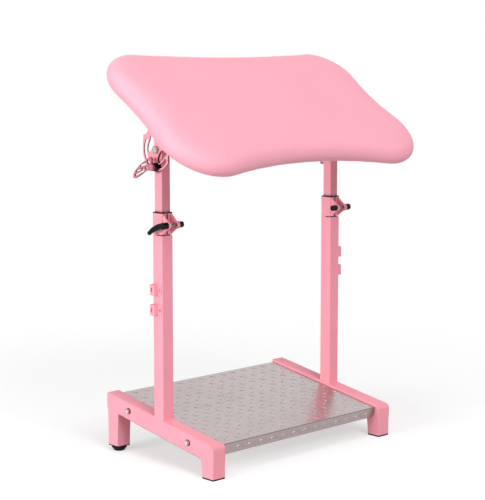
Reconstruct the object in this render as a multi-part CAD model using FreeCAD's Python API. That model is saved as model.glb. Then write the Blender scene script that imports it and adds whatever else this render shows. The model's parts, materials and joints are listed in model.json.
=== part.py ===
import FreeCAD, Part
import math
import os

from FreeCAD import Matrix, Rotation, Vector

# Arm rest stand: a padded, lobed board that tilts on two upright tubes. The tubes slide in clamped
# columns, which stand on a pair of sloping side frames joined by a footplate.
# The front is -Y, the left side is -X, and every length is in millimetres.

# Side frames and legs
base_width = 639.0
base_depth = 402.0
rail_size = 40.0
rail_wall = 2.0
rail_rear_height = 151.0
rail_front_height = 84.0
rail_front_radius = 12.0
rail_edge_radius = 2.6
front_cap_height = 4.0
cap_edge_radius = 1.4
insert_depth = 18.0
insert_wall = 2.5
insert_clearance = 0.15
rear_leg_height = 15.5
rear_cap_height = 3.2
rail_plug_thickness = 2.5

# Levelling feet under the rear legs
foot_top_radius = 19.5
foot_bottom_radius = 14.5
foot_edge_radius = 2.0
foot_rim_height = 3.4
foot_gap = 0.3
stem_radius = 4.9
stem_length = 42.0
stem_seat = 6.0
thread_clearance = 0.08

# Footplate and its bolts
plate_thickness = 2.5
plate_drop = 6.0
plate_flange = 27.0
plate_corner_radius = 14.0
plate_bend_radius = 3.0
plate_front_setback = 12.7
plate_rear_setback = 1.0
plate_side_gap = 0.3
plate_corner_relief = 6.0
notch_length = 9.0
notch_width = 4.0
notch_offset = 62.0
plate_bolt_offset = 115.0
plate_bolt_radius = 4.0
plate_bolt_hole_clearance = 0.4
plate_bolt_head_flats = 13.0
plate_bolt_head_height = 5.3
plate_washer_radius = 8.0
plate_washer_thickness = 1.6
plate_nut_height = 6.5

# Columns, their clamps and bushes
column_size = 35.0
column_wall = 2.0
column_edge_radius = 2.4
column_y = 2.0
column_top = 630.5
slit_height = 2.6
slit_width = 3.8
slit_depth = 54.5
slit_depth_share = 0.5
bush_flange = 2.5
bush_depth = 42.0
bush_fit = 0.05
bush_notch = 8.5
slide_clearance = 0.2
ear_thickness = 4.0
ear_margin = 1.5
ear_root_inset = 2.5
ear_reach = 19.5
ear_boss_radius = 9.5
clamp_stud_radius = 4.0
stud_hole_clearance = 0.1
clamp_nut_radius = 8.0
clamp_nut_tip_radius = 7.4
clamp_nut_length = 14.0
clamp_nut_skirt = 5.0

# Clamp levers
lever_gap = 0.3
lever_hub_radius = 8.4
lever_hub_length = 17.0
lever_reach = 48.0
lever_droop = 24.5
lever_rise = 10.0
lever_radius = 7.8
lever_bow = 4.5
lever_ball_radius = 5.6
# Stations of the lever's arm: along it, of its bow, and of its radius
lever_arm_shares = ((0.0, 0.0, 1.0), (0.33, 0.87, 0.97), (0.67, 0.87, 0.87), (1.0, 0.0, 0.68))
stud_seat = 9.0

# Strap clips on the outer faces of the columns
clip_level_left = 442.0
clip_level_right = 478.0
clip_spacing = 50.0
clip_height = 27.0
clip_thickness = 2.0
clip_flange = 15.0
clip_loop_width = 17.0
clip_loop_reach = 14.5
clip_loop_radius = 4.0
clip_window_length = 11.0
clip_window_width = 4.5
clip_screw_offset = 10.5
clip_screw_radius = 1.9
clip_screw_head_radius = 3.2
clip_screw_head_height = 1.6

# Sliding uprights
slide_size = 27.5
slide_wall = 1.8
slide_edge_radius = 2.2
slide_length = 572.0
slide_top_margin = 15.0
shoe_height = 25.0
shoe_clearance = 0.2
tube_plug_height = 3.0

# Tilt pivot and clamp
pivot_rise = 155.0
tilt_degrees = 35.0
pivot_radius = 5.0
pivot_clearance = 0.08
pivot_washer_radius = 13.0
pivot_washer_thickness = 1.0
running_gap = 0.3
pivot_head_flats = 17.0
pivot_head_height = 6.4
pivot_nut_height = 8.0
tilt_bolt_radius = 4.0
tilt_bolt_head_radius = 10.0
tilt_bolt_head_height = 6.5
tilt_washer_radius = 11.0
tilt_washer_thickness = 2.0
slot_radius = 41.7
slot_clearance = 1.2
slot_half_angle = 86.0
sector_radius = 51.5
sector_thickness = 3.0
sector_front_shares = {"rim": 0.86, "horn": (1.03, 0.02), "waist": (0.84, 0.24), "neck": (0.8, 0.42)}
sector_rear_shares = {"rim": 0.61, "horn": (1.17, 0.01), "waist": (1.02, 0.28), "neck": (1.19, 0.57)}
window_shares = (
    (0.42, -0.43), (0.29, -0.27), (0.26, 0.0), (0.3, 0.17), (0.42, 0.29), (0.62, 0.33),
    (0.7, 0.27), (0.66, 0.1), (0.63, -0.1), (0.57, -0.29), (0.49, -0.42),
)
bracket_half_length = 70.0
bracket_foot_width = 58.0
bracket_foot_thickness = 4.0
bracket_screw_offset = 54.0
bracket_screw_inset = 14.0
bracket_screw_radius = 3.0
bracket_screw_hole_clearance = 0.3
bracket_screw_head_radius = 5.6
bracket_screw_head_height = 3.2
bracket_screw_depth = 9.5

# Butterfly handles of the tilt clamp
hub_radius = 10.5
hub_tip_radius = 9.6
hub_length = 9.0
wing_boss_radius = 9.0
wing_boss_length = 7.5
wing_boss_wall = 3.0
wing_length = 73.0
wing_width = 25.0
wing_thickness = 5.0
wing_droop = 27.0
wing_outline_shares = (
    (0.0, -0.32), (0.07, -0.28), (0.2, -0.08), (0.5, 0.0), (0.7, -0.02), (0.87, 0.0), (0.97, 0.09),
    (1.0, 0.22), (0.98, 0.4), (0.91, 0.57), (0.78, 0.74), (0.48, 0.9), (0.24, 0.97), (0.05, 0.99),
    (-0.075, 0.99), (-0.135, 0.9), (-0.145, 0.7), (-0.1, 0.42), (-0.06, 0.26),
)
# Each cell: place along and across, length along, width across, and its turn in degrees
wing_cell_shares = (
    (0.05, 0.63, 0.16, 0.3, 68.0), (0.335, 0.715, 0.35, 0.18, 11.0), (0.235, 0.24, 0.115, 0.26, 35.0),
    (0.64, 0.24, 0.52, 0.18, 4.0), (0.66, 0.53, 0.26, 0.15, 7.0), (0.425, 0.34, 0.13, 0.2, 48.0),
)

# Pad
pad_half_length_front = 424.5
pad_half_length_rear = 418.0
pad_half_depth = 229.5
pad_front_lobe_radius = 128.0
pad_rear_lobe_radius = 109.5
pad_front_hollow = 33.0
pad_rear_hollow = 13.0
pad_side_radius = 500.0
pad_lift = 105.7
pad_half_thickness = 24.0
pad_roundness = 26.0
pad_crown = 7.0
board_thickness = 12.0
board_inset = 32.0
board_clearance = 0.3
edge_shares = ((1.0, -1.0), (0.5, -0.866), (0.134, -0.5), (0.0, 0.0), (0.134, 0.5), (0.5, 0.866))
crown_shares = ((0.28, 0.14), (0.52, 0.58), (0.9, 1.0))
crown_inset = 100.0

# How far a cut runs past what it cuts
overrun = 5.0

# Places worked out from the sizes above
rail_fall = rail_rear_height - rail_front_height
rail_slope = math.atan2(rail_fall, base_depth)
rail_drop = rail_size / math.cos(rail_slope)
wall_drop = rail_wall / math.cos(rail_slope)
frame_x = (base_width - rail_size) / 2
column_bore = column_size - 2 * column_wall
slit_bottom = column_top - slit_depth
clip_screw_length = clip_thickness + column_wall - slide_clearance
column_face = column_size / 2
clamp_y = column_y - column_face - ear_reach
clamp_z = (slit_bottom + column_top) / 2
slide_face = slide_size / 2
pivot_height = column_top + pivot_rise
slide_top = pivot_height + slide_top_margin
slide_bottom = slide_top - slide_length
tilt_bolt_height = pivot_height - slot_radius
sector_inner = slide_face + pivot_washer_thickness + running_gap
sector_outer = sector_inner + sector_thickness
pad_underside = pad_lift - pad_half_thickness
left_column = Vector(-frame_x, column_y, 0)


def rail_top(y):
    """Height of the rails' top face at depth y."""
    return rail_rear_height - rail_fall * (base_depth / 2 - y) / base_depth


def box(x0, x1, y0, y1, z0, z1):
    return Part.makeBox(x1 - x0, y1 - y0, z1 - z0, Vector(x0, y0, z0))


def face_of(edges):
    return Part.Face(Part.Wire(Part.__sortEdges__(edges)))


def prism_x(points, x0, x1):
    """Polygon of (y, z) points, drawn out along X."""
    ring = [Vector(x0, y, z) for y, z in points]
    return Part.Face(Part.makePolygon(ring + ring[:1])).extrude(Vector(x1 - x0, 0, 0))


def rod_x(radius, x0, x1, y, z):
    return Part.makeCylinder(radius, x1 - x0, Vector(x0, y, z), Vector(1, 0, 0))


def hex_x(flats, x0, x1, y, z):
    """Hexagonal bar along X, with flats above and below."""
    corner = flats / math.sqrt(3)
    turns = [math.radians(60 * step) for step in range(6)]
    return prism_x([(y + corner * math.cos(a), z + corner * math.sin(a)) for a in turns], x0, x1)


def revolve_x(points, y, z):
    """Profile of (x, radius) points, turned about the X direction through (y, z)."""
    ring = [Vector(x, y + radius, z) for x, radius in points]
    face = Part.Face(Part.makePolygon(ring + ring[:1]))
    return face.revolve(Vector(0, y, z), Vector(1, 0, 0), 360)


def round_edges(shape, radius, wanted):
    return shape.makeFillet(radius, [edge for edge in shape.Edges if wanted(edge)])


def is_upright(edge):
    start, end = edge.firstVertex().Point, edge.lastVertex().Point
    return Vector(end.x - start.x, end.y - start.y, 0).Length < rail_wall / 10


def square_tube(size, wall, edge_radius, z0, z1):
    """Upright square tube on the Z axis."""
    half = size / 2
    outer = round_edges(box(-half, half, -half, half, z0, z1), edge_radius, is_upright)
    bore = half - wall
    return outer.cut(box(-bore, bore, -bore, bore, z0 - overrun, z1 + overrun))


def moved(shape, offset):
    copy = shape.copy()
    copy.translate(offset)
    return copy


def mirrored(shape):
    return shape.mirror(Vector(0, 0, 0), Vector(1, 0, 0))


def sloped(shape):
    """From the rails' own axes, with z = 0 on their top face, to the stand's."""
    copy = shape.copy()
    copy.rotate(Vector(0, 0, 0), Vector(1, 0, 0), math.degrees(rail_slope))
    copy.translate(Vector(0, 0, rail_top(0)))
    return copy


def tilted(shape):
    """From the pad's own axes, with the pivot at the origin, to the stand's."""
    copy = shape.copy()
    copy.rotate(Vector(0, 0, 0), Vector(1, 0, 0), tilt_degrees)
    copy.translate(Vector(0, column_y, pivot_height))
    return copy


def plate_bolt_places():
    """Depth and height of the footplate's two bolts on a rail's centre line."""
    middle = Vector(0, 0, -rail_size / 2)
    turn = Rotation(Vector(1, 0, 0), math.degrees(rail_slope))
    places = []
    for along in (-plate_bolt_offset, plate_bolt_offset):
        spot = turn.multVec(middle + Vector(0, along, 0))
        places.append((spot.y, spot.z + rail_top(0)))
    return places


def rail():
    """Sloping top tube of a side frame, closed and rounded at the front, open at the rear."""
    half, back = rail_size / 2, base_depth / 2
    x0, x1 = -frame_x - half, -frame_x + half
    outer = prism_x([(-back, rail_top(-back) - rail_drop), (-back, rail_top(-back)),
                     (back, rail_top(back)), (back, rail_top(back) - rail_drop)], x0, x1)

    def is_front_top(edge):
        middle = edge.CenterOfMass
        above = middle.z > rail_front_height - 2 * rail_wall
        return middle.y < -back + 2 * rail_wall and above and edge.Length > half - rail_wall

    outer = round_edges(outer, rail_front_radius, is_front_top)

    def runs_along(edge):
        middle = edge.CenterOfMass
        return abs(abs(middle.x + frame_x) - half) < rail_wall / 10 and middle.y < back - rail_wall

    outer = round_edges(outer, rail_edge_radius, runs_along)
    low, high = -back + rail_wall, back + overrun
    bore = prism_x([(low, rail_top(low) - rail_drop + wall_drop), (low, rail_top(low) - wall_drop),
                    (high, rail_top(high) - wall_drop), (high, rail_top(high) - rail_drop + wall_drop)],
                   x0 + rail_wall, x1 - rail_wall)
    tube = outer.cut(round_edges(bore, rail_front_radius - rail_wall, is_front_top))
    hole = plate_bolt_radius + plate_bolt_hole_clearance
    for y, z in plate_bolt_places():
        tube = tube.cut(rod_x(hole, x0 - overrun, x1 + overrun, y, z))
    return tube


def leg(y0, foot_height):
    """Upright leg tube, cut to the slope of the rail above it."""
    y1, half = y0 + rail_size, rail_size / 2
    outer = prism_x([(y0, foot_height), (y1, foot_height), (y1, rail_top(y1) - rail_drop),
                     (y0, rail_top(y0) - rail_drop)], -frame_x - half, -frame_x + half)
    outer = round_edges(outer, rail_edge_radius, is_upright)
    bore = half - rail_wall
    middle = y0 + half
    return outer.cut(box(-frame_x - bore, -frame_x + bore, middle - bore, middle + bore,
                         foot_height - overrun, rail_top(y1)))


def leg_insert(y0, foot_height, cap_height):
    """Square cap under a leg with a plug that fills the tube's mouth."""
    half, middle = rail_size / 2, y0 + rail_size / 2
    cap = box(-half, half, -half, half, foot_height - cap_height, foot_height)
    cap = round_edges(cap, rail_edge_radius, is_upright)
    low = foot_height - cap_height
    cap = round_edges(cap, cap_edge_radius, lambda edge: edge.BoundBox.ZMax < low + cap_edge_radius / 10)
    plug = half - rail_wall - insert_clearance
    body = box(-plug, plug, -plug, plug, foot_height, foot_height + insert_depth)
    return moved(cap.fuse(body).removeSplitter(), Vector(-frame_x, middle, 0))


def front_cap():
    plug = rail_size / 2 - rail_wall - insert_clearance - insert_wall
    middle = -base_depth / 2 + rail_size / 2
    hollow = box(-frame_x - plug, -frame_x + plug, middle - plug, middle + plug,
                 front_cap_height, front_cap_height + insert_depth + overrun)
    return leg_insert(-base_depth / 2, front_cap_height, front_cap_height).cut(hollow)


def rear_foot_spot():
    return Vector(-frame_x, base_depth / 2 - rail_size / 2, 0)


def rear_insert():
    bore = stem_radius + thread_clearance
    cap = leg_insert(base_depth / 2 - rail_size, rear_leg_height, rear_cap_height)
    hole = Part.makeCylinder(bore, rear_leg_height + insert_depth + overrun, rear_foot_spot())
    return cap.cut(hole)


def rail_plug():
    """Steel plug, coated with the frame, in the open rear end of a rail."""
    half, back = rail_size / 2, base_depth / 2
    low, high = rail_top(back) - rail_drop, rail_top(back)
    flange = box(-frame_x - half, -frame_x + half, back, back + rail_plug_thickness, low, high)
    flange = round_edges(flange, rail_edge_radius,
                         lambda edge: edge.BoundBox.YLength > rail_plug_thickness / 2)
    inner = back - insert_depth
    gap = wall_drop + insert_clearance
    body = prism_x([(inner, rail_top(inner) - rail_drop + gap), (inner, rail_top(inner) - gap),
                    (back, high - gap), (back, low + gap)],
                   -frame_x - half + rail_wall + insert_clearance,
                   -frame_x + half - rail_wall - insert_clearance)
    return flange.fuse(body).removeSplitter()


def foot_height():
    return rear_leg_height - rear_cap_height - foot_gap


def levelling_foot():
    """Round glide that turns on its stem."""
    top, rim = foot_height(), foot_height() - foot_rim_height
    ledge = foot_bottom_radius - foot_edge_radius
    bend = foot_edge_radius * (1 - math.sqrt(0.5))
    points = [Vector(0, 0, 0), Vector(ledge, 0, 0), Vector(foot_bottom_radius, 0, foot_edge_radius),
              Vector(foot_top_radius, 0, rim), Vector(foot_top_radius, 0, top), Vector(0, 0, top)]
    corner = Vector(foot_bottom_radius - bend, 0, bend)
    edges = [Part.makeLine(points[0], points[1]), Part.Arc(points[1], corner, points[2]).toShape()]
    edges += [Part.makeLine(a, b) for a, b in zip(points[2:], points[3:] + points[:1])]
    body = face_of(edges).revolve(Vector(0, 0, 0), Vector(0, 0, 1), 360)
    seat = Part.makeCylinder(stem_radius + thread_clearance, stem_seat, Vector(0, 0, top - stem_seat))
    return moved(body.cut(seat), rear_foot_spot())


def foot_stem():
    bottom = foot_height() - stem_seat
    return moved(Part.makeCylinder(stem_radius, stem_length, Vector(0, 0, bottom)), rear_foot_spot())


def footplate():
    """Folded sheet between the rails, with turned-down front, rear and side flanges."""
    stretch = math.cos(rail_slope)
    front = (-base_depth / 2 + plate_front_setback) / stretch
    rear = (base_depth / 2 - plate_rear_setback) / stretch
    side = frame_x - rail_size / 2 - plate_side_gap
    top, bottom = -plate_drop, -plate_drop - plate_flange
    tray = box(-side, side, front, rear, bottom, top)

    def is_long_top(edge):
        return edge.BoundBox.ZMin > top - plate_thickness / 2 and edge.BoundBox.XLength > side

    tray = round_edges(tray, plate_bend_radius, is_long_top)

    def is_lower_corner(edge):
        return edge.BoundBox.ZMax < bottom + plate_thickness / 2 and edge.BoundBox.YLength > side / 2

    inner = side - plate_thickness
    hollow = box(-inner, inner, front + plate_thickness, rear - plate_thickness,
                 bottom - overrun, top - plate_thickness)
    tray = tray.cut(hollow)
    corner = box(-plate_corner_radius, 0, -overrun, overrun, 0, plate_corner_radius)
    rounding = Part.makeCylinder(plate_corner_radius, 2 * overrun, Vector(-plate_corner_radius, -overrun,
                                 plate_corner_radius), Vector(0, 1, 0))
    corner = corner.cut(rounding)
    for end in (front, rear):
        for cut in (corner, mirrored(corner)):
            sign = 1 if cut is corner else -1
            tray = tray.cut(moved(cut, Vector(sign * side, end, bottom)))
    relief = plate_corner_relief + plate_thickness
    for start, end in ((front + plate_thickness, front + relief), (-notch_offset, notch_offset),
                       (rear - relief, rear - plate_thickness)):
        gap = box(inner, side + overrun, start, end, bottom - overrun, top - plate_thickness)
        tray = tray.cut(gap).cut(mirrored(gap))
    for along in (-notch_offset, notch_offset):
        notch = box(side - notch_width, side + overrun, along - notch_length / 2, along + notch_length / 2,
                    top - plate_thickness - overrun, top + overrun)
        tray = tray.cut(notch).cut(mirrored(notch))
    hole = plate_bolt_radius + plate_bolt_hole_clearance
    for along in (-plate_bolt_offset, plate_bolt_offset):
        tray = tray.cut(rod_x(hole, -side - overrun, side + overrun, along, -rail_size / 2))
    return sloped(tray)


def plate_fasteners():
    """Bolts, washers and nuts that hold the footplate to the left rail."""
    outer = -frame_x - rail_size / 2
    inner = -frame_x + rail_size / 2 + plate_side_gap + plate_thickness
    head = outer - plate_washer_thickness
    nut_end = inner + plate_nut_height
    hole = plate_bolt_radius + thread_clearance
    bolts, washers, nuts = [], [], []
    for y, z in plate_bolt_places():
        bolt = hex_x(plate_bolt_head_flats, head - plate_bolt_head_height, head, y, z)
        bolts.append(bolt.fuse(rod_x(plate_bolt_radius, head, nut_end + plate_washer_thickness, y, z)))
        washer = rod_x(plate_washer_radius, head, outer, y, z)
        washers.append(washer.cut(rod_x(hole, head - overrun, outer + overrun, y, z)))
        nut = hex_x(plate_bolt_head_flats, inner, nut_end, y, z)
        nuts.append(nut.cut(rod_x(hole, inner - overrun, nut_end + overrun, y, z)))
    return bolts, washers, nuts


def column():
    """Fixed square tube on the rail, slit at its upper front for the height clamp."""
    half, bore = column_face, column_bore / 2
    tube = square_tube(column_size, column_wall, column_edge_radius, rail_front_height, column_top)
    reach = column_size
    under = prism_x([(-reach, rail_top(column_y - reach) - rail_drop), (-reach, rail_top(column_y - reach)),
                     (reach, rail_top(column_y + reach)), (reach, rail_top(column_y + reach) - rail_drop)],
                    -reach, reach)
    tube = tube.cut(under)
    upright_slit = box(-slit_width / 2, slit_width / 2, -half - overrun, -bore + column_wall,
                       slit_bottom, column_top + overrun)
    depth = -half + column_size * slit_depth_share
    cross_slit = box(-half - overrun, half + overrun, -half - overrun, depth,
                     slit_bottom, slit_bottom + slit_height)
    return moved(tube.cut(upright_slit).cut(cross_slit), left_column)


def clamp_ears():
    """Pair of welded ears in front of the slit, with round bosses for the clamp stud."""
    root, outer = -column_face, column_face - ear_root_inset
    low, high = slit_bottom + slit_height + ear_margin, column_top - ear_margin
    tip = clamp_y - column_y
    ear = prism_x([(root, low), (tip, clamp_z - ear_boss_radius), (tip, clamp_z + ear_boss_radius),
                   (root, high)], outer - ear_thickness, outer)
    boss = rod_x(ear_boss_radius, outer - ear_thickness, column_face, tip, clamp_z)
    hole = clamp_stud_radius + stud_hole_clearance
    ear = ear.fuse(boss).cut(rod_x(hole, 0, column_size, tip, clamp_z)).removeSplitter()
    return [moved(ear, left_column), moved(mirrored(ear), left_column)]


def slide_bush():
    """Flanged liner between the column and the sliding upright, its flange notched at the front."""
    outer = column_bore / 2 - bush_fit
    inner = slide_face + slide_clearance
    top = column_top + bush_flange
    half = column_face
    flange = round_edges(box(-half, half, -half, half, column_top, top), column_edge_radius, is_upright)
    sleeve = box(-outer, outer, -outer, outer, column_top - bush_depth, column_top)
    bore = box(-inner, inner, -inner, inner, column_top - bush_depth - overrun, top + overrun)
    notch = box(-bush_notch / 2, bush_notch / 2, -half - overrun, 0, column_top, top + overrun)
    return moved(flange.fuse(sleeve).cut(bore).cut(notch).removeSplitter(), left_column)


def clamp_nut():
    """Round nut on the inner end of the clamp stud."""
    start, end = column_face, column_face + clamp_nut_length
    skirt = start + clamp_nut_skirt
    tip = clamp_nut_tip_radius
    body = revolve_x([(start, 0), (start, clamp_nut_radius), (skirt, clamp_nut_radius),
                      (end - lever_gap, tip), (end, tip - cap_edge_radius), (end, 0)],
                     clamp_y - column_y, clamp_z)
    bore = rod_x(clamp_stud_radius + bush_fit, start - overrun, start + stud_seat,
                 clamp_y - column_y, clamp_z)
    return moved(body.cut(bore), left_column)


def clamp_lever():
    """Hand lever on the outer end of the clamp stud, pointing rearwards and down."""
    y, z = clamp_y - column_y, clamp_z
    start = -column_face - lever_gap
    hub = rod_x(lever_hub_radius, start - lever_hub_length, start, y, z)
    hub = round_edges(hub, cap_edge_radius, lambda edge: edge.BoundBox.XMax < start - lever_hub_length / 2
                      and edge.BoundBox.XLength < lever_gap)
    root = Vector(start - lever_hub_length / 2, y, z)
    droop = math.radians(lever_droop)
    along = Vector(-lever_rise, lever_reach * math.cos(droop), -lever_reach * math.sin(droop))
    bow = Vector(0, math.sin(droop), math.cos(droop)) * lever_bow
    rings = []
    for reach, rise, size in lever_arm_shares:
        ring = Part.makeCircle(lever_radius * size, root + along * reach + bow * rise, along)
        rings.append(Part.Wire([ring]))
    arm = Part.makeLoft(rings, True, False)
    ball = Part.makeSphere(lever_ball_radius, root + along)
    lever = hub.fuse(arm).fuse(ball)
    seat = rod_x(clamp_stud_radius + thread_clearance, start - stud_seat, start + overrun, y, z)
    return moved(lever.cut(seat).removeSplitter(), left_column)


def clamp_stud():
    y, z = clamp_y - column_y, clamp_z
    start, end = -column_face - lever_gap - stud_seat, column_face + stud_seat - lever_gap
    return moved(rod_x(clamp_stud_radius, start, end, y, z), left_column)


def strap_clip(level):
    """Saddle clip on the column's outer face: a screwed flange and a strap loop behind it."""
    face, low, high = -column_face, level - clip_height / 2, level + clip_height / 2
    outer = face - clip_loop_reach
    end = clip_loop_width - clip_thickness
    loop = box(outer, face, -clip_thickness, end, low, high)
    loop = round_edges(loop, clip_loop_radius,
                       lambda edge: is_upright(edge) and edge.BoundBox.XMax < face - clip_thickness)
    passage = box(outer + clip_thickness, face + overrun, 0, end - clip_thickness,
                  low - overrun, high + overrun)
    half = clip_window_length / 2
    centre = (end - clip_thickness) / 2
    window = box(outer - overrun, outer + clip_thickness + overrun, centre - clip_window_width / 2,
                 centre + clip_window_width / 2, level - half, level + half)
    flange = box(face - clip_thickness, face, -clip_flange, -clip_thickness, low, high)
    hole = rod_x(clip_screw_radius + thread_clearance, outer, 0, -clip_screw_offset, level)
    clip = loop.cut(passage).cut(window).fuse(flange).cut(hole).removeSplitter()
    head = face - clip_thickness
    screw = rod_x(clip_screw_head_radius, head - clip_screw_head_height, head, -clip_screw_offset, level)
    screw = round_edges(screw, clip_screw_head_height / 2,
                        lambda edge: edge.BoundBox.XMax < head - clip_screw_head_height / 2)
    shank = rod_x(clip_screw_radius, head, head + clip_screw_length, -clip_screw_offset, level)
    return clip, screw.fuse(shank), hole


def clips_on(side):
    """Clips, screws and holes of one side; the right-hand ones are turned half round about the column."""
    upper = clip_level_left if side < 0 else clip_level_right
    sets = []
    for level in (upper, upper - clip_spacing):
        shapes = strap_clip(level)
        if side > 0:
            for shape in shapes:
                shape.rotate(Vector(0, 0, 0), Vector(0, 0, 1), 180)
        sets.append([moved(shape, Vector(side * frame_x, column_y, 0)) for shape in shapes])
    return zip(*sets)


def slide_tube():
    """Sliding upright, drilled for the pivot and the tilt bolt."""
    tube = square_tube(slide_size, slide_wall, slide_edge_radius, slide_bottom, slide_top)
    for radius, z in ((pivot_radius, pivot_height), (tilt_bolt_radius, tilt_bolt_height)):
        tube = tube.cut(rod_x(radius + thread_clearance, -slide_size, slide_size, 0, z))
    return moved(tube, left_column)


def slide_shoe():
    """Plastic guide round the lower end of the sliding upright."""
    outer = column_bore / 2 - shoe_clearance
    shoe = box(-outer, outer, -outer, outer, slide_bottom, slide_bottom + shoe_height)
    shoe = round_edges(shoe, slide_edge_radius / 2, is_upright)
    bore = box(-slide_face, slide_face, -slide_face, slide_face, slide_bottom - overrun, slide_top)
    return moved(shoe.cut(bore), left_column)


def tube_plug():
    """Plug in the upper end of the sliding upright."""
    cap = box(-slide_face, slide_face, -slide_face, slide_face, slide_top, slide_top + tube_plug_height)
    cap = round_edges(cap, slide_edge_radius, is_upright)
    bore = slide_face - slide_wall - insert_clearance
    clear = slide_top_margin - pivot_radius - insert_clearance
    plug = box(-bore, bore, -bore, bore, slide_top - clear, slide_top)
    return moved(cap.fuse(plug).removeSplitter(), left_column)


def pivot_bolt():
    """Hexagon bolt through the sector plate, the washer and the upright."""
    head = -sector_outer - running_gap
    bolt = hex_x(pivot_head_flats, head - pivot_head_height, head, 0, pivot_height)
    end = slide_face + pivot_nut_height
    return moved(bolt.fuse(rod_x(pivot_radius, head, end, 0, pivot_height)), left_column)


def pivot_nut():
    nut = hex_x(pivot_head_flats, slide_face, slide_face + pivot_nut_height, 0, pivot_height)
    hole = rod_x(pivot_radius + thread_clearance, 0, slide_size, 0, pivot_height)
    return moved(nut.cut(hole), left_column)


def washer_x(radius, bolt, x0, x1, z):
    hole = rod_x(bolt + thread_clearance, x0 - overrun, x1 + overrun, 0, z)
    return moved(rod_x(radius, x0, x1, 0, z).cut(hole), left_column)


def pivot_washer():
    return washer_x(pivot_washer_radius, pivot_radius, -slide_face - pivot_washer_thickness, -slide_face,
                  pivot_height)


def tilt_washer():
    start = -sector_outer - running_gap
    return washer_x(tilt_washer_radius, tilt_bolt_radius, start - tilt_washer_thickness, start,
                  tilt_bolt_height)


def hub_start():
    return -sector_outer - running_gap - tilt_washer_thickness - running_gap


def wing_bore_end():
    return hub_start() - hub_length - wing_boss_length + wing_boss_wall


def handle_bore():
    """Threaded bore through the hub and into the wing's boss."""
    radius = tilt_bolt_radius + thread_clearance
    return rod_x(radius, wing_bore_end(), hub_start() + overrun, 0, tilt_bolt_height)


def tilt_bolt():
    """Dome-headed bolt through the upright and the sector's slot, into the handle's hub."""
    end = slide_face + tilt_bolt_head_height
    centre = Vector(end - tilt_bolt_head_radius, 0, tilt_bolt_height)
    low, high = tilt_bolt_height - slide_size, tilt_bolt_height + slide_size
    dome = Part.makeSphere(tilt_bolt_head_radius, centre)
    dome = dome.common(box(slide_face, end + overrun, -slide_size, slide_size, low, high))
    shank = rod_x(tilt_bolt_radius, wing_bore_end() + running_gap, slide_face, 0, tilt_bolt_height)
    return moved(dome.fuse(shank).removeSplitter(), left_column)


def handle_hub():
    """Plastic collar between the washer and the wing's boss."""
    start = hub_start()
    end = start - hub_length
    points = [(start, 0), (start, hub_radius), (end, hub_tip_radius), (end, 0)]
    body = revolve_x(points, 0, tilt_bolt_height)
    return moved(body.cut(handle_bore()), left_column)


def wing_plate():
    """The wing in its own axes: along X from the hub, its broad edge up Y, and flat in Z."""
    spots = [Vector(wing_length * along, wing_width * across, 0) for along, across in wing_outline_shares]
    curve = Part.BSplineCurve()
    curve.interpolate(spots)
    outline = face_of([curve.toShape(), Part.makeLine(spots[-1], spots[0])])
    plate = outline.extrude(Vector(0, 0, wing_thickness))
    for along, across, length, width, turn in wing_cell_shares:
        radius = wing_width * width / 2
        straight = wing_length * length / 2 - radius
        hole = box(-straight, straight, -radius, radius, -overrun, wing_thickness + overrun)
        for end in (-straight, straight):
            rounding = Part.makeCylinder(radius, wing_thickness + 2 * overrun, Vector(end, 0, -overrun))
            hole = hole.fuse(rounding)
        hole.rotate(Vector(0, 0, 0), Vector(0, 0, 1), turn)
        plate = plate.cut(moved(hole, Vector(wing_length * along, wing_width * across, 0)))
    return plate


def wing_handle():
    """Hand grip of the tilt clamp: one pierced, wing-shaped leaf on a round boss."""
    middle = wing_boss_length / 2
    leaf = moved(wing_plate(), Vector(0, 0, middle - wing_thickness / 2))
    handle = Part.makeCylinder(wing_boss_radius, wing_boss_length).fuse(leaf).removeSplitter()
    # Handle axes to the stand's: X to the rear, Y up, Z outwards to the left.
    handle = handle.transformGeometry(Matrix(0, 0, -1, 0, 1, 0, 0, 0, 0, 1, 0, 0, 0, 0, 0, 1))
    handle.rotate(Vector(0, 0, 0), Vector(1, 0, 0), -wing_droop)
    handle = moved(handle, Vector(hub_start() - hub_length, 0, tilt_bolt_height))
    return moved(handle.cut(handle_bore()), left_column)


def arc_slot(radius, width, first, last):
    """Curved slot about the pivot, in the pad's (y, z) plane; angles are counted from straight down."""
    half = width / 2

    def spot(reach, degrees):
        angle = math.radians(degrees)
        return Vector(0, reach * math.sin(angle), -reach * math.cos(angle))

    def end_arc(degrees, sign):
        tip = spot(radius, degrees) + spot(half, degrees + sign * 90)
        return Part.Arc(spot(radius - half, degrees), tip, spot(radius + half, degrees)).toShape()

    middle = (first + last) / 2
    edges = [end_arc(first, -1), end_arc(last, 1)]
    for reach in (radius - half, radius + half):
        edges.append(Part.Arc(spot(reach, first), spot(reach, middle), spot(reach, last)).toShape())
    sweep = face_of(edges).extrude(Vector(2 * overrun + sector_outer, 0, 0))
    return moved(sweep, Vector(-sector_outer - overrun, 0, 0))


def sector_spot(sign, shares):
    """Point of the sector plate, given in shares of its radius."""
    return Vector(0, sign * shares[0] * sector_radius, shares[1] * sector_radius)


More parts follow.
